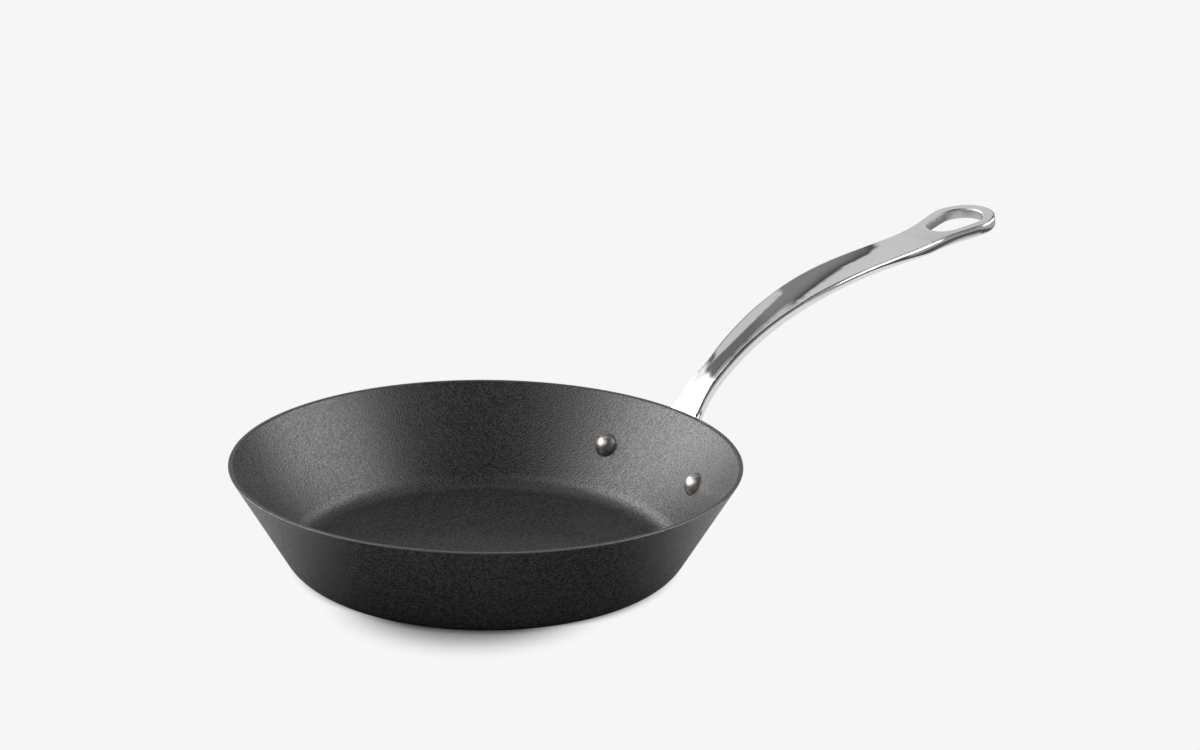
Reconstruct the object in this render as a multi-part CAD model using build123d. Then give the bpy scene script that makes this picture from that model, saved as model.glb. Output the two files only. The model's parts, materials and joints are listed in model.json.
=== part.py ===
from build123d import *
import os
from math import asin, cos, degrees, radians, sin, sqrt, tan

# Omelette pan: a flared sheet steel body and one cast handle, held on by two rivets.
# Millimetres, +Z up. The origin is the centre of the base on the hob, and the handle runs along +X.

# Pan body
rim_radius = 120.0
pan_height = 50.0
wall_lean = 30.0
wall = 2.0
knuckle_radius = 14.0
rim_chamfer = 0.4

# Line of the handle: the middle of its top face, from the rim to the tip
handle_reach = 210.0
handle_rise = 79.5
rim_slope = 57.0
loop_slope = 12.0
run_shares = (0.1, 0.26, 0.54)
climb_shares = (0.255, 0.53, 0.793)

# Neck and grip
root_width = 20.0
root_depth = 8.5
neck_width = 15.5
neck_depth = 8.0
neck_dish = 0.4
grip_width = 27.0
grip_depth = 6.5
grip_dish = 1.0
side_share = 0.7
crest_share = 0.2
belly_share = 0.38

# Sections of the root sunk in the wing: how far below the rim, how wide and how deep
sunk_root_shares = (
    (0.9, 2.75, 0.1),
    (0.7, 2.25, 0.45),
    (0.5, 1.76, 0.74),
    (0.3, 1.38, 0.92),
    (0.12, 1.12, 1),
)
# Sections along the line: where, and how far one form has become the next
root_to_neck_shares = ((0, 0), (0.064, 0.7))
neck_to_grip_shares = ((0.136, 0), (0.217, 0.1), (0.317, 0.33), (0.44, 0.64), (0.583, 0.93), (0.756, 1))
grip_to_loop_shares = ((0.85, 0.3), (0.93, 0.75), (0.975, 1), (1, 1))

# Hanging loop at the tip, lying in one plane
loop_length = 51.0
loop_width = 37.0
loop_band = 6.4
loop_thickness = 5.8
loop_round = 1.1
loop_flare = 12.0
throat_width = 26.0
hole_length = 33.5
hole_neck_width = 20.0
hole_chamfer = 0.7

# Mounting wing that hugs the wall under the rim
rivet_spacing = 70.5
rivet_drop = 24.5
ear_radius = 9.5
ear_thickness = 4.5
wing_thickness = 7.0
wing_round = 1.8
wing_rim_gap = 3.0
wing_arch = 4.0
wing_waist_share = 0.38
wing_sweep = 4.0
wing_slices = 17
seat_clearance = 0.05
seat_cut = 1.0

# Rivets
shank_diameter = 6.0
shank_clearance = 0.2
head_diameter = 12.2
head_height = 4.2
set_head_diameter = 10.0
set_head_height = 1.8
set_head_chamfer = 0.8

overrun = 5.0

# The outer wall line in the plane of the handle, and the rivets on it
lean = radians(wall_lean)
sharp_rim_radius = rim_radius + rim_chamfer * sin(lean)
foot_radius = sharp_rim_radius - pan_height * tan(lean)
rivet_height = pan_height - rivet_drop
rivet_radius = foot_radius + rivet_height * tan(lean)
rivet_azimuth = degrees(asin(rivet_spacing / 2 / rivet_radius))
rivet_to_rim = rivet_drop / cos(lean)
from_base = (Align.CENTER, Align.CENTER, Align.MIN)


def blend(start, end, share):
    """A size part of the way from one to another."""
    return start + (end - start) * share


def wall_plane(azimuth):
    """A plane on the outer wall face at rivet height: x runs round the pan, y up the wall, z out of it."""
    out = Vector(cos(lean), 0, -sin(lean)).rotate(Axis.Z, azimuth)
    round_pan = Vector(0, 1, 0).rotate(Axis.Z, azimuth)
    origin = Vector(rivet_radius, 0, rivet_height).rotate(Axis.Z, azimuth)
    return Plane(origin, x_dir=round_pan, z_dir=out)


def inside_wall(offset):
    """The solid inside the outer wall face moved out by offset, from below the base to above the rim."""
    heights = (-overrun, pan_height + overrun)
    lower, upper = (foot_radius + height * tan(lean) + offset / cos(lean) for height in heights)
    return Pos(0, 0, heights[0]) * Cone(lower, upper, heights[1] - heights[0], align=from_base)


def shank(clearance):
    """The rivet's shank, or with a clearance the hole for it, from inside the pan out through the ear."""
    length = wall + ear_thickness + 2 * overrun
    return Pos(0, 0, -wall - overrun) * Cylinder((shank_diameter + clearance) / 2, length, align=from_base)


def pan_body():
    """Spun sheet: a flat base, a rolled knuckle and a straight flared wall with an eased rim."""
    band = wall / cos(lean)
    inner_foot = foot_radius + wall * tan(lean) - band
    outer = FilletPolyline((0, 0), (foot_radius, 0), (sharp_rim_radius, pan_height), radius=knuckle_radius)
    inner = FilletPolyline((0, wall), (inner_foot, wall), (sharp_rim_radius - band, pan_height),
                           radius=knuckle_radius - wall)
    rim = Line(outer @ 1, inner @ 1)
    axis = Line(outer @ 0, inner @ 0)
    profile = make_face(outer + rim + inner + axis)
    profile = chamfer(profile.vertices().group_by(Axis.Y)[-1], rim_chamfer)
    body = revolve(Plane.XZ * profile, Axis.Z)
    for side in (-1, 1):
        body -= wall_plane(side * rivet_azimuth) * shank(shank_clearance)
    return body


def handle_line():
    """The middle of the top face, from the rim to where the loop begins."""
    slope = radians(loop_slope)
    run = handle_reach - loop_length * cos(slope)
    climb = handle_rise - loop_length * sin(slope)
    points = [(0, 0), *((run * out, climb * up) for out, up in zip(run_shares, climb_shares)), (run, climb)]
    tangents = [(cos(angle), 0, sin(angle)) for angle in (radians(rim_slope), slope)]
    return Spline(*((sharp_rim_radius + out, 0, pan_height + up) for out, up in points), tangents=tangents)


def across(origin, along):
    """A plane across the handle: x is sideways and y leans up out of its top face."""
    return Plane(origin, x_dir=(0, 1, 0), z_dir=along)


def bar_section(width, depth, dish, side, crest, belly):
    """Outline across the handle: a dished top, rounded crests, upright sides and a bellied underside."""
    half = width / 2
    top_half = half - crest
    crest_corner = dish + 2 * dish * crest / top_half
    belly_corner = crest_corner - side
    flat_share = 1 - belly / half
    under_pull = -(2 * depth + belly_corner * flat_share) / (2 - flat_share)
    under_edge = blend(belly_corner, under_pull, belly / half)
    top = Bezier((-top_half, dish), (0, -dish), (top_half, dish))
    top_end = (half, crest_corner - crest)
    under_end = (half, belly_corner + belly)
    under_start = (half - belly, under_edge)
    under = Bezier(under_start, (0, under_pull), (belly - half, under_edge))
    rounded = [1, sqrt(0.5), 1]
    right = [
        Bezier((top_half, dish), (half, crest_corner), top_end, weights=rounded),
        Line(top_end, under_end),
        Bezier(under_end, (half, belly_corner), under_start, weights=rounded),
    ]
    left = [edge.mirror(Plane.YZ) for edge in right]
    return make_face(Wire([top, under, *right, *left]))


def bar_sizes(width, depth, dish):
    """What bar_section needs for a bar of this width, depth and dish."""
    return width, depth, dish, depth * side_share, depth * crest_share, depth * belly_share


def bar():
    """The neck and grip, from a root sunk in the wing to the throat of the loop."""
    line = handle_line()
    up_wall = Vector(sin(lean), 0, cos(lean))
    sunk_rim = line @ 0 - Vector(cos(lean), 0, -sin(lean)) * seat_cut
    sections = []
    for drop, width, depth in sunk_root_shares:
        plane = across(sunk_rim - up_wall * rivet_to_rim * drop, up_wall)
        sizes = bar_sizes(root_width * width, root_depth * depth + seat_cut, neck_dish)
        sections.append(plane * bar_section(*sizes))
    root = bar_sizes(root_width, root_depth, neck_dish)
    neck = bar_sizes(neck_width, neck_depth, neck_dish)
    grip = bar_sizes(grip_width, grip_depth, grip_dish)
    throat = (throat_width, loop_thickness, 0, loop_thickness, loop_round, loop_round)
    runs = [
        (root, neck, root_to_neck_shares),
        (neck, grip, neck_to_grip_shares),
        (grip, throat, grip_to_loop_shares),
    ]
    for first, last, shares in runs:
        for place, share in shares:
            sizes = (blend(before, after, share) for before, after in zip(first, last))
            sections.append(across(line @ place, line % place) * bar_section(*sizes))
    return loft(sections)


def loop_hole():
    """The egg-shaped hole in the loop's own plane, wide towards the tip."""
    tip_radius = loop_width / 2 - loop_band
    tip_centre = loop_length - loop_width / 2
    neck_radius = hole_neck_width / 2
    neck_centre = tip_centre + tip_radius - hole_length + neck_radius
    ends = Pos(tip_centre, 0) * Circle(tip_radius) + Pos(neck_centre, 0) * Circle(neck_radius)
    return make_hull(ends.edges())


def loop():
    """The flat eye that the pan hangs by: a flared throat and a round end about the hole."""
    radius = loop_width / 2
    centre = loop_length - radius
    wrap = radians(loop_flare)
    flank_end = (centre - radius * sin(wrap), radius * cos(wrap))
    flank = Spline((0, throat_width / 2), flank_end, tangents=[(1, 0), (cos(wrap), sin(wrap))])
    half_end = ThreePointArc(flank_end, (centre + radius * sin(wrap), radius * cos(wrap)), (loop_length, 0))
    upper = Curve() + [flank, half_end]
    throat = Line((0, throat_width / 2), (0, -throat_width / 2))
    outline = make_face(upper + mirror(upper, Plane.XZ) + throat)
    plate = extrude(outline - loop_hole(), -loop_thickness)
    lips = [face.inner_wires()[0].edges() for face in plate.faces().filter_by(Axis.Z)]
    plate = chamfer(lips[0] + lips[1], hole_chamfer)
    rims = [face.outer_wire().edges() for face in plate.faces().filter_by(Axis.Z)]
    plate = fillet((rims[0] + rims[1]).filter_by(Plane.YZ, reverse=True), loop_round)
    line = handle_line()
    return Plane(line @ 1, x_dir=line % 1, z_dir=(line % 1).cross(Vector(0, 1, 0))) * plate


def bell(share):
    """A bell over the wing: 1 in the middle, a half at the waist and nearly 0 at an ear."""
    return 1 / (1 + abs(share / wing_waist_share) ** wing_sweep)


def wing_slice(azimuth, foot, top, thickness):
    """A slice of the wing in a plane through the pan's axis, from inside the seat to the outer face."""
    on_wall = wall_plane(azimuth)
    middle = Pos((foot + top) / 2, (thickness - seat_cut) / 2)
    outline = middle * Rectangle(top - foot, thickness + seat_cut)
    outer_corners = outline.vertices().group_by(Axis.Y)[-1].filter_by(lambda corner: corner.X != 0)
    outline = fillet(outer_corners, wing_round)
    return Plane(on_wall.origin, x_dir=on_wall.y_dir, z_dir=on_wall.x_dir) * outline


def wing():
    """A fishtail that hugs the wall: tall and thick under the neck, with a round ear at each rivet."""
    slices = []
    for step in range(wing_slices):
        share = 2 * step / (wing_slices - 1) - 1
        swell = (bell(share) - bell(1)) / (1 - bell(1))
        thickness = blend(ear_thickness, wing_thickness, swell)
        foot = blend(-ear_radius, wing_arch - ear_radius, swell)
        top = blend(ear_radius, rivet_to_rim - wing_rim_gap, swell)
        slices.append(wing_slice(share * rivet_azimuth, foot, top, thickness))
    body = loft(slices)
    for side in (-1, 1):
        ear = wall_plane(side * rivet_azimuth)
        half = wing_slice(side * rivet_azimuth, 0, ear_radius, ear_thickness)
        body += revolve(half, Axis(ear.origin, ear.z_dir * -side), revolution_arc=180)
    return body


def handle():
    """One casting: wing, neck, grip and loop, seated on the wall and drilled for the rivets."""
    casting = wing() + bar() + loop()
    casting -= inside_wall(seat_clearance)
    for side in (-1, 1):
        casting -= wall_plane(side * rivet_azimuth) * shank(shank_clearance)
    return casting


def dome(diameter, height):
    """A low rivet head on the plane z = 0."""
    crown = (diameter ** 2 / 4 + height ** 2) / (2 * height)
    profile = make_face(Curve() + [
        Line((0, 0), (diameter / 2, 0)),
        RadiusArc((diameter / 2, 0), (0, height), -crown),
        Line((0, height), (0, 0)),
    ])
    return revolve(Plane.XZ * profile, Axis.Z)


def rivet(side):
    """A domed head inside the pan, a shank through wall and ear, and a low set head outside."""
    grip = wall + seat_clearance
    skirt = Cylinder(head_diameter / 2, grip, align=from_base)
    head = Pos(0, 0, -grip) * (skirt + Rot(180, 0, 0) * dome(head_diameter, head_height))
    head = (wall_plane(side * rivet_azimuth) * head) & inside_wall(-grip)
    outside = ear_thickness + seat_clearance
    sunk = grip + head_height / 2
    set_head = Cylinder(set_head_diameter / 2, set_head_height, align=from_base)
    set_head = chamfer(set_head.edges().group_by(Axis.Z)[-1], set_head_chamfer)
    pin = Pos(0, 0, -sunk) * Cylinder(shank_diameter / 2, sunk + outside, align=from_base)
    pin += Pos(0, 0, outside) * set_head
    return head + wall_plane(side * rivet_azimuth) * pin


pieces = {
    "pan_body": pan_body(),
    "handle": handle(),
    "rivet_left": rivet(-1),
    "rivet_right": rivet(1),
}
os.makedirs("parts", exist_ok=True)
for name, piece in pieces.items():
    export_step(piece, f"parts/{name}.step")
    print(name, "valid" if piece.is_valid else "not valid", round(piece.volume), "cubic mm")
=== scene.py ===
import json
from math import cos, radians, sin

import bpy
from mathutils import Euler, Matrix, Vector


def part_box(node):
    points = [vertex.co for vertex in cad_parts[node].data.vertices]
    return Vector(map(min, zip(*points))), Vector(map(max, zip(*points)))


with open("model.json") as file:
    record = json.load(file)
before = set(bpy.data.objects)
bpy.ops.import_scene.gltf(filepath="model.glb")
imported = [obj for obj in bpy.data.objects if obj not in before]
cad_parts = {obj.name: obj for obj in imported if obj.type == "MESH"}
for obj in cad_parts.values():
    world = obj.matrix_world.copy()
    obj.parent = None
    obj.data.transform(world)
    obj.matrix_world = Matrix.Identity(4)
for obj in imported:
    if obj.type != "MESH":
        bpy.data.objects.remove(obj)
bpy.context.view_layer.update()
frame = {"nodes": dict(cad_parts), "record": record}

nodes = frame["nodes"]
mounts = {mount["name"]: mount for mount in frame["record"]["mounts"]}
MM = 0.001

RIM_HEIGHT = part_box("pan_body")[1][2]
RIM_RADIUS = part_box("pan_body")[1][0]

# The camera that the photograph was taken with, fitted to the rim, the base and the handle. It aims at the
# middle of the rim from its azimuth and elevation, and is then turned, tilted and rolled by a few degrees.
CAMERA_AZIMUTH = -35.15
CAMERA_ELEVATION = 19.6
CAMERA_DISTANCE = 1033.7 * MM
CAMERA_TURN = -2.92
CAMERA_TILT = 2.15
CAMERA_ROLL = 0.33
FOCAL_LENGTH = 66.0
SENSOR_WIDTH = 36.0
CLIP_START = 10 * MM

# The studio as steel sees it. Each soft box: degrees to the left of the line of sight, degrees up, width,
# height, how far it leans over with height, softness of its edge, colour and strength. Each hides what the
# ones above it in the list show. Those down to the top box stand behind the pan or over it, and the rest at
# its sides. The left inside wall of the pan shines with the right window, and the right one with the left.
SOFT_BOXES = {
    "thin_haze": (22, 48, 110, 26, 0, 10, "#757575", 1.0),
    "haze": (-8, 48, 60, 24, 0, 14, "#8c8c8c", 1.0),
    "back_wall": (46, -17, 70, 103, 0, 5.5, "#cccccc", 1.0),
    "back_step": (4, -20, 20, 99, 0, 4, "#d8d8d8", 1.0),
    "back_door": (-40, -20, 74, 101.5, 0, 2, "#d8d8d8", 1.0),
    "left_gloom": (50, -24, 76, 100, 0, 6, "#606060", 1.0),
    "right_gloom": (-47, -24, 70, 100, 0, 6, "#606060", 1.0),
    "top_box": (32, 62, 48, 29, 0, 2.5, "#d8d8d8", 1.0),
    "left_wall": (58, 18, 92, 86, -0.95, 3, "#ffffff", 1.15),
    "left_window": (46, 26, 66, 34, -0.95, 6, "#ffffff", 4.6),
    "right_haze": (-112, 28, 90, 44, 0, 8, "#808080", 1.0),
    "right_wall": (-108, 2, 90, 22, 0, 8, "#b4b4b4", 1.0),
    "right_window": (-83, 26, 62, 30, 0, 7, "#ffffff", 3.4),
    "crest_light": (-75, 56, 110, 10, 0, 4, "#ffffff", 1.1),
}
UNLIT_ROOM = "#444444"
FILL_STRENGTH = 1.0
BACKDROP = "#f6f6f6"

# What polished steel sees of the floor: a painted pool of light round the pan, a painted dark ring round the
# pool, grey beyond the ring, and the pan's own shade painted on the camera's side
FLOOR_SIZE = 8000 * MM
PALE_FLOOR = "#f4f4f4"
POOL_RADIUS = 420 * MM
POOL_END = 600 * MM
RING_RADIUS = 740 * MM
RING_END = 900 * MM
MIRRORED_SHADE_AHEAD = -155 * MM
MIRRORED_SHADE_LEFT = -8 * MM
MIRRORED_SHADE = 90 * MM
MIRRORED_SHADE_END = 190 * MM

# Where the floor keeps the pan's shade: thinly all round the foot, and deeply before and behind, because the
# windows stand at the sides. The camera sees the shadow that the pan casts there. All other rays see the deep
# one as painted shade.
FOOT_SHADE = 84 * MM
FOOT_SHADE_END = 94 * MM
DEEP_SHADE_AHEAD = 52 * MM
DEEP_SHADE_LEFT = 8 * MM
DEEP_SHADE = 37 * MM
DEEP_SHADE_END = 67 * MM

# The steel's tooth is about 0.1 mm across. It is drawn as coarser cells, so that it shows. The oil film
# blooms in broad patches, and use rubs the very edge of the rim, which also carries a painted highlight.
TOOTH_SIZE = 0.8 * MM
TOOTH_DEPTH = 0.1 * MM
BLOOM_SIZE = 60 * MM
RIM_WEAR_AND_HIGHLIGHT = 0.6 * MM

# The broad waves that buffing leaves in the casting, and the shallow dents in the rivet heads
WAVE_SIZE = 16.667 * MM
WAVE_DEPTH = 0.05 * MM
DENT_SIZE = 2.857 * MM
DENT_DEPTH = 0.1 * MM

# The eye of the handle, to just outside its bore. Only the flat face round it has a normal that points up by
# more than this.
EYE_LENGTH = 40 * MM
EYE_WIDTH = 29 * MM
FLAT_FACE_UP = 0.93

# Buffing crowns the sides of the loop: how far their middle stands proud of their edges, half the loop's
# thickness, and how far from the middle of the eye that reaches
CROWN = 0.25 * MM
HALF_THICKNESS = 2.9 * MM
CROWN_REACH = 34 * MM
CROWN_END = 60 * MM


def linear(hex_colour):
    """An sRGB hex colour as linear red, green, blue and alpha."""
    channels = [int(hex_colour[i:i + 2], 16) / 255 for i in (1, 3, 5)]
    return (*[c / 12.92 if c <= 0.04045 else ((c + 0.055) / 1.055) ** 2.4 for c in channels], 1)


def add(tree, kind, inputs=None, **settings):
    """Adds a node with its settings, and gives each input a value or a link from another node's output."""
    node = tree.nodes.new(kind)
    for name, value in settings.items():
        setattr(node, name, value)
    for socket, value in (inputs or {}).items():
        if isinstance(value, bpy.types.NodeSocket):
            tree.links.new(value, node.inputs[socket])
        else:
            node.inputs[socket].default_value = value
    return node


def new_tree(name):
    """A material with an empty node tree, and that tree."""
    material = bpy.data.materials.new(name)
    material.use_nodes = True
    material.node_tree.nodes.clear()
    return material, material.node_tree


def round_patch(tree, place, middle, radius, end):
    """1 within a radius of its middle, falling softly to 0 at its end."""
    away = add(tree, "ShaderNodeVectorMath", {0: place, 1: middle}, operation="DISTANCE").outputs["Value"]
    return add(tree, "ShaderNodeMapRange", {"Value": away, "From Min": end, "From Max": radius},
               interpolation_type="SMOOTHSTEP").outputs["Result"]


def seasoned_carbon_steel():
    """Carbon steel sheet under a baked-on film of oil: near black face on, paler where light grazes it, and
    toothed like fine emery. The film and the oxide under it both shine, so the sheen is twice a plain one's.
    The rim is worn back to bare brown-grey steel, and its very edge is painted lighter as a highlight."""
    material, tree = new_tree("seasoned_carbon_steel")
    place = add(tree, "ShaderNodeTexCoord").outputs["Object"]

    # The tooth: each cell is a little lighter or darker, and smoother or rougher, than the next
    grit = add(tree, "ShaderNodeTexVoronoi", {"Vector": place, "Scale": 1 / TOOTH_SIZE})
    speck = add(tree, "ShaderNodeSeparateColor", {"Color": grit.outputs["Color"]}).outputs["Red"]
    grain = add(tree, "ShaderNodeMapRange", {"Value": speck, "To Min": 0.4, "To Max": 1.6}).outputs["Result"]
    rough = add(tree, "ShaderNodeMapRange", {"Value": speck, "To Min": 0.28,
                                             "To Max": 0.52}).outputs["Result"]
    tooth = add(tree, "ShaderNodeBump", {"Height": grit.outputs["Distance"], "Strength": 1.0,
                                         "Distance": TOOTH_DEPTH})

    # The film, cooler in some patches and warmer in others
    bloom = add(tree, "ShaderNodeTexNoise", {"Vector": place, "Scale": 1 / BLOOM_SIZE, "Detail": 3.0})
    warm = add(tree, "ShaderNodeMapRange", {"Value": bloom.outputs["Fac"], "From Min": 0.35,
                                            "From Max": 0.65}).outputs["Result"]
    film = add(tree, "ShaderNodeMix", {"Factor": warm, "A": linear("#252425"), "B": linear("#2b2727")},
               data_type="RGBA").outputs["Result"]
    oiled = add(tree, "ShaderNodeMix", {"Factor": 1.0, "A": film, "B": grain}, data_type="RGBA",
                blend_type="MULTIPLY").outputs["Result"]

    # The lip that use wears bare: the top of the wall, where it also reaches the rim's full radius. Its
    # lighter colour is bare steel and a painted highlight.
    height = add(tree, "ShaderNodeSeparateXYZ", {"Vector": place}).outputs["Z"]
    level = add(tree, "ShaderNodeVectorMath", {0: place, 1: (1, 1, 0)}, operation="MULTIPLY").outputs[0]
    radius = add(tree, "ShaderNodeVectorMath", {0: level}, operation="LENGTH").outputs["Value"]
    top = add(tree, "ShaderNodeMapRange", {"Value": height, "From Min": RIM_HEIGHT - RIM_WEAR_AND_HIGHLIGHT,
                                           "From Max": RIM_HEIGHT - RIM_WEAR_AND_HIGHLIGHT / 3}).outputs["Result"]
    outside = add(tree, "ShaderNodeMapRange", {"Value": radius, "From Min": RIM_RADIUS - RIM_WEAR_AND_HIGHLIGHT,
                                               "From Max": RIM_RADIUS - RIM_WEAR_AND_HIGHLIGHT / 3}).outputs["Result"]
    lip = add(tree, "ShaderNodeMath", {0: top, 1: outside}, operation="MULTIPLY").outputs[0]
    worn = add(tree, "ShaderNodeMath", {0: lip, 1: warm}, operation="MULTIPLY").outputs[0]
    bare = add(tree, "ShaderNodeMath", {0: worn, 1: 0.5}, operation="MULTIPLY").outputs[0]
    # Bare brown-grey steel, painted lighter along the edge as a highlight
    bare_and_highlit = add(tree, "ShaderNodeMix", {"Factor": warm, "A": linear("#4a4948"), "B": linear("#4e4742")},
                 data_type="RGBA").outputs["Result"]
    colour = add(tree, "ShaderNodeMix", {"Factor": lip, "A": oiled, "B": bare_and_highlit},
                 data_type="RGBA").outputs["Result"]

    shader = add(tree, "ShaderNodeBsdfPrincipled", {"Base Color": colour, "Metallic": bare,
                                                    "Roughness": rough, "Specular IOR Level": 1.0,
                                                    "Normal": tooth.outputs["Normal"]})
    add(tree, "ShaderNodeOutputMaterial", {"Surface": shader.outputs["BSDF"]})
    return material


def mirror_cast_stainless():
    """Cast 18/8 stainless, belt-ground and buffed to a mirror, with the faint waves that buffing leaves. The
    wheel crowns the sides of the loop. It can't reach into the eye, so its bore stays satin."""
    material, tree = new_tree("mirror_cast_stainless")
    place = add(tree, "ShaderNodeTexCoord").outputs["Object"]
    eye = Vector(mounts["hanging_eye"]["pos_m"])
    square = Vector(mounts["hanging_eye"]["axis"])
    around = add(tree, "ShaderNodeVectorMath", {0: place, 1: eye}, operation="SUBTRACT").outputs[0]

    # The satin bore: inside the eye's ellipse, but not on the flat face round it
    shrunk = add(tree, "ShaderNodeVectorMath", {0: around, 1: (1 / EYE_LENGTH, 1 / EYE_WIDTH, 0)},
                 operation="MULTIPLY").outputs[0]
    reach = add(tree, "ShaderNodeVectorMath", {0: shrunk}, operation="LENGTH").outputs["Value"]
    inner = add(tree, "ShaderNodeMath", {0: reach, 1: 0.5}, operation="LESS_THAN").outputs[0]
    normal = add(tree, "ShaderNodeNewGeometry").outputs["Normal"]
    upward = add(tree, "ShaderNodeSeparateXYZ", {"Vector": normal}).outputs["Z"]
    upright = add(tree, "ShaderNodeMath", {0: upward, 1: FLAT_FACE_UP}, operation="LESS_THAN").outputs[0]
    bore = add(tree, "ShaderNodeMath", {0: inner, 1: upright}, operation="MULTIPLY").outputs[0]
    rough = add(tree, "ShaderNodeMapRange", {"Value": bore, "To Min": 0.04, "To Max": 0.4}).outputs["Result"]
    metal = add(tree, "ShaderNodeMix", {"Factor": bore, "A": linear("#e2e2e2"), "B": linear("#bebebe")},
                data_type="RGBA").outputs["Result"]

    # The crown: the surface falls away towards the upper and lower edges of the loop's sides
    above = add(tree, "ShaderNodeVectorMath", {0: around, 1: square / HALF_THICKNESS},
                operation="DOT_PRODUCT").outputs["Value"]
    squared = add(tree, "ShaderNodeMath", {0: above, 1: above}, operation="MULTIPLY").outputs[0]
    loop = round_patch(tree, place, eye, CROWN_REACH, CROWN_END)
    sunk = add(tree, "ShaderNodeMath", {0: squared, 1: loop}, operation="MULTIPLY").outputs[0]
    crown = add(tree, "ShaderNodeBump", {"Height": sunk, "Strength": 1.0, "Distance": CROWN}, invert=True)

    waves = add(tree, "ShaderNodeTexNoise", {"Vector": place, "Scale": 1 / WAVE_SIZE, "Detail": 1.0,
                                             "Roughness": 0.4})
    buffed = add(tree, "ShaderNodeBump", {"Height": waves.outputs["Fac"], "Strength": 0.02,
                                          "Distance": WAVE_DEPTH, "Normal": crown.outputs["Normal"]})
    shader = add(tree, "ShaderNodeBsdfPrincipled", {"Base Color": metal, "Metallic": 1.0, "Roughness": rough,
                                                    "Normal": buffed.outputs["Normal"]})
    add(tree, "ShaderNodeOutputMaterial", {"Surface": shader.outputs["BSDF"]})
    return material


def satin_rivet_steel():
    """Steel rivet heads, upset in a die: satin, with shallow dents and a warm grey from the seasoning."""
    material, tree = new_tree("satin_rivet_steel")
    place = add(tree, "ShaderNodeTexCoord").outputs["Object"]
    dents = add(tree, "ShaderNodeTexNoise", {"Vector": place, "Scale": 1 / DENT_SIZE, "Detail": 1.0})
    bump = add(tree, "ShaderNodeBump", {"Height": dents.outputs["Fac"], "Strength": 0.3,
                                        "Distance": DENT_DEPTH})
    shader = add(tree, "ShaderNodeBsdfPrincipled", {"Base Color": linear("#bcb6b2"), "Metallic": 1.0,
                                                    "Roughness": 0.36, "Normal": bump.outputs["Normal"]})
    add(tree, "ShaderNodeOutputMaterial", {"Surface": shader.outputs["BSDF"]})
    return material


def facing(tree, vector):
    """A direction or place turned so that X runs along the camera's line of sight and Y to its left."""
    return add(tree, "ShaderNodeVectorRotate", {"Vector": vector, "Angle": -radians(90 + CAMERA_AZIMUTH)},
               rotation_type="Z_AXIS").outputs[0]


def studio_floor():
    """A pale sweep. The camera sees it as plain backdrop with the pan's shade on it. What shines sees a
    painted pool of light, painted dark beyond it and painted shade where the pan's shade falls, and all but
    the camera see the deep shade as painted shade."""
    material, tree = new_tree("pale_sweep")
    place = facing(tree, add(tree, "ShaderNodeTexCoord").outputs["Object"])
    path = add(tree, "ShaderNodeLightPath").outputs
    middle = (0, 0, 0)

    # As what shines sees it: a painted pool of light, a painted dark ring beyond it, and painted shade before
    # the pan
    ring = round_patch(tree, place, middle, RING_RADIUS, RING_END)
    pool = round_patch(tree, place, middle, POOL_RADIUS, POOL_END)
    mirrored = round_patch(tree, place, (MIRRORED_SHADE_AHEAD, MIRRORED_SHADE_LEFT, 0), MIRRORED_SHADE,
                           MIRRORED_SHADE_END)
    unlit = add(tree, "ShaderNodeMix", {"Factor": ring, "A": linear("#b0b0b0"), "B": linear("#5a5a5a")},
                data_type="RGBA").outputs["Result"]
    lit = add(tree, "ShaderNodeMix", {"Factor": pool, "A": unlit, "B": linear(PALE_FLOOR)},
              data_type="RGBA").outputs["Result"]
    shone = add(tree, "ShaderNodeMix", {"Factor": mirrored, "A": lit, "B": linear("#4a4a4a")},
                data_type="RGBA").outputs["Result"]
    colour = add(tree, "ShaderNodeMix", {"Factor": path["Is Glossy Ray"], "A": linear(PALE_FLOOR),
                                         "B": shone}, data_type="RGBA").outputs["Result"]

    # The shade at the pan's foot. Folding the floor at its middle puts the deep one before and behind.
    foot = round_patch(tree, place, middle, FOOT_SHADE, FOOT_SHADE_END)
    centred = add(tree, "ShaderNodeVectorMath", {0: place, 1: (0, DEEP_SHADE_LEFT, 0)},
                  operation="SUBTRACT").outputs[0]
    folded = add(tree, "ShaderNodeVectorMath", {0: centred}, operation="ABSOLUTE").outputs[0]
    deep = round_patch(tree, folded, (DEEP_SHADE_AHEAD, 0, 0), DEEP_SHADE, DEEP_SHADE_END)
    shade = add(tree, "ShaderNodeMath", {0: foot, 1: deep}, operation="MAXIMUM").outputs[0]
    # All but the camera see the deep shade as painted shade, a dark colour laid on the floor
    unseen = add(tree, "ShaderNodeMath", {0: 1.0, 1: path["Is Camera Ray"]}, operation="SUBTRACT").outputs[0]
    dark = add(tree, "ShaderNodeMath", {0: deep, 1: unseen}, operation="MULTIPLY").outputs[0]
    shaded = add(tree, "ShaderNodeMix", {"Factor": dark, "A": colour, "B": linear("#303030")},
                 data_type="RGBA").outputs["Result"]

    # The camera sees the matt floor only in the shade, and plain backdrop elsewhere
    matt = add(tree, "ShaderNodeBsdfDiffuse", {"Color": shaded})
    plain = add(tree, "ShaderNodeEmission", {"Color": linear(BACKDROP), "Strength": 1.0})
    open_floor = add(tree, "ShaderNodeMath", {0: 1.0, 1: shade}, operation="SUBTRACT").outputs[0]
    bare = add(tree, "ShaderNodeMath", {0: path["Is Camera Ray"], 1: open_floor},
               operation="MULTIPLY").outputs[0]
    surface = add(tree, "ShaderNodeMixShader", {0: bare, 1: matt.outputs[0], 2: plain.outputs[0]})
    add(tree, "ShaderNodeOutputMaterial", {"Surface": surface.outputs[0]})

    bpy.ops.mesh.primitive_plane_add(size=FLOOR_SIZE)
    floor = bpy.context.object
    floor.name = "studio_floor"
    floor.data.materials.append(material)


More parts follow.
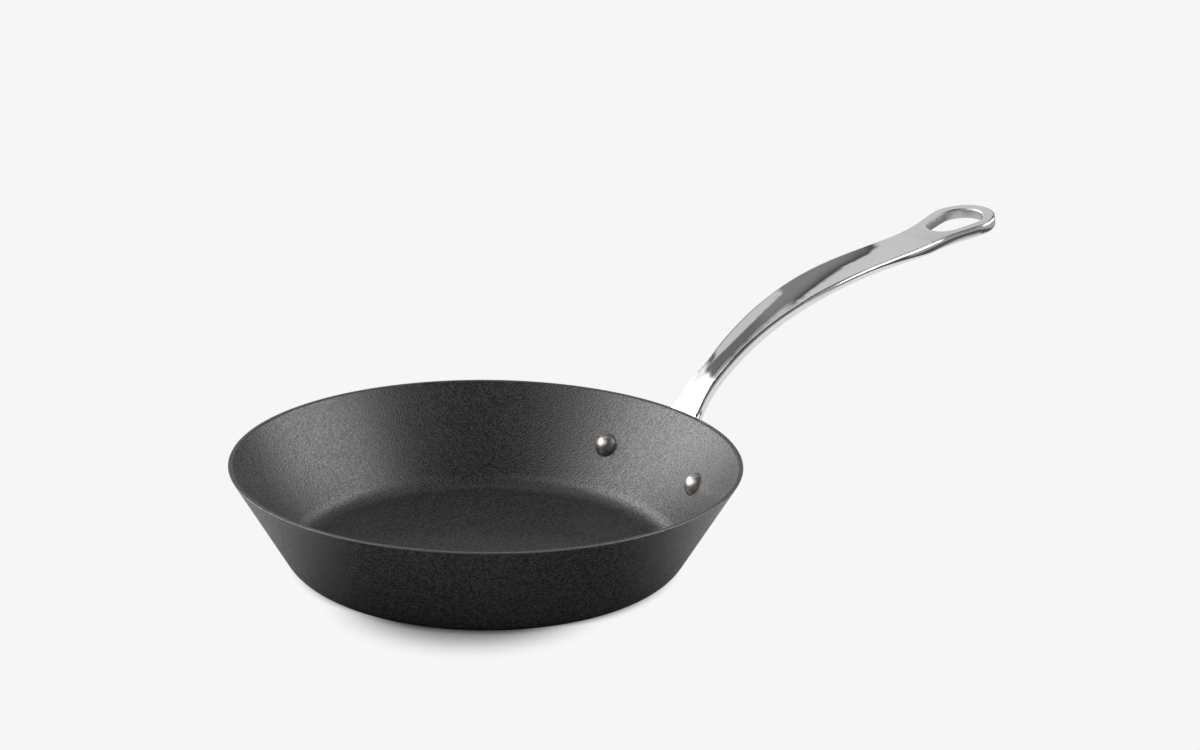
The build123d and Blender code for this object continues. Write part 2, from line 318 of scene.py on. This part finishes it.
def near(tree, value, middle, extent, softness):
    """1 where a value lies within its extent about the middle, falling to 0 over a soft edge."""
    offset = add(tree, "ShaderNodeMath", {0: value, 1: middle}, operation="SUBTRACT").outputs[0]
    away = add(tree, "ShaderNodeMath", {0: offset}, operation="ABSOLUTE").outputs[0]
    return add(tree, "ShaderNodeMapRange", {"Value": away, "From Min": (extent + softness) / 2,
                                            "From Max": (extent - softness) / 2},
               interpolation_type="SMOOTHSTEP").outputs["Result"]


def studio_air():
    """White to the camera, an even soft fill to what is matt, a dark room with soft boxes to what shines."""
    world = bpy.data.worlds.new("studio_air")
    world.use_nodes = True
    bpy.context.scene.world = world
    tree = world.node_tree
    tree.nodes.clear()
    direction = facing(tree, add(tree, "ShaderNodeTexCoord").outputs["Generated"])
    along = add(tree, "ShaderNodeSeparateXYZ", {"Vector": direction}).outputs
    turn = add(tree, "ShaderNodeMath", {0: along["Y"], 1: along["X"]}, operation="ARCTAN2").outputs[0]
    height = add(tree, "ShaderNodeMath", {0: along["Z"]}, operation="ARCSINE").outputs[0]
    seen = linear(UNLIT_ROOM)
    for name, (at, up, width, tall, lean, soft, colour, strength) in SOFT_BOXES.items():
        shift = add(tree, "ShaderNodeMath", {0: height, 1: lean, 2: turn},
                    operation="MULTIPLY_ADD").outputs[0]
        across = near(tree, shift, radians(at), radians(width), radians(soft))
        upward = near(tree, height, radians(up), radians(tall), radians(soft))
        inside = add(tree, "ShaderNodeMath", {0: across, 1: upward}, operation="MULTIPLY").outputs[0]
        glow = [channel * strength for channel in linear(colour)]
        seen = add(tree, "ShaderNodeMix", {"Factor": inside, "A": seen, "B": glow}, data_type="RGBA",
                   label=name).outputs["Result"]
    path = add(tree, "ShaderNodeLightPath")
    shine = add(tree, "ShaderNodeBackground", {"Color": seen, "Strength": 1.0})
    fill = add(tree, "ShaderNodeBackground", {"Color": linear("#ffffff"), "Strength": FILL_STRENGTH})
    backdrop = add(tree, "ShaderNodeBackground", {"Color": linear(BACKDROP), "Strength": 1.0})
    lit = add(tree, "ShaderNodeMixShader", {0: path.outputs["Is Glossy Ray"], 1: fill.outputs[0],
                                            2: shine.outputs[0]})
    out = add(tree, "ShaderNodeMixShader", {0: path.outputs["Is Camera Ray"], 1: lit.outputs[0],
                                            2: backdrop.outputs[0]})
    add(tree, "ShaderNodeOutputWorld", {"Surface": out.outputs[0]})


def camera():
    """Stands where the photograph was taken from, and looks just past the middle of the rim."""
    azimuth = radians(CAMERA_AZIMUTH)
    elevation = radians(CAMERA_ELEVATION)
    back = Vector((sin(azimuth) * cos(elevation), -cos(azimuth) * cos(elevation), sin(elevation)))
    view = bpy.data.objects.new("camera", bpy.data.cameras.new("camera"))
    view.data.lens = FOCAL_LENGTH
    view.data.sensor_width = SENSOR_WIDTH
    view.data.clip_start = CLIP_START
    view.location = Vector((0, 0, RIM_HEIGHT)) + back * CAMERA_DISTANCE
    view.rotation_mode = "QUATERNION"
    aimed = (-back).to_track_quat("-Z", "Y")
    turned = aimed @ Euler((0, radians(CAMERA_TURN), 0)).to_quaternion()
    tilted = turned @ Euler((radians(CAMERA_TILT), 0, 0)).to_quaternion()
    view.rotation_quaternion = tilted @ Euler((0, 0, radians(CAMERA_ROLL))).to_quaternion()
    bpy.context.scene.collection.objects.link(view)
    bpy.context.scene.camera = view


rivet_steel = satin_rivet_steel()
finishes = {
    "pan_body": seasoned_carbon_steel(),
    "handle": mirror_cast_stainless(),
    "rivet_left": rivet_steel,
    "rivet_right": rivet_steel,
}
for name, finish in finishes.items():
    nodes[name].material_slots[0].material = finish

studio_floor()
studio_air()
camera()
bpy.context.scene.view_settings.view_transform = "Standard"
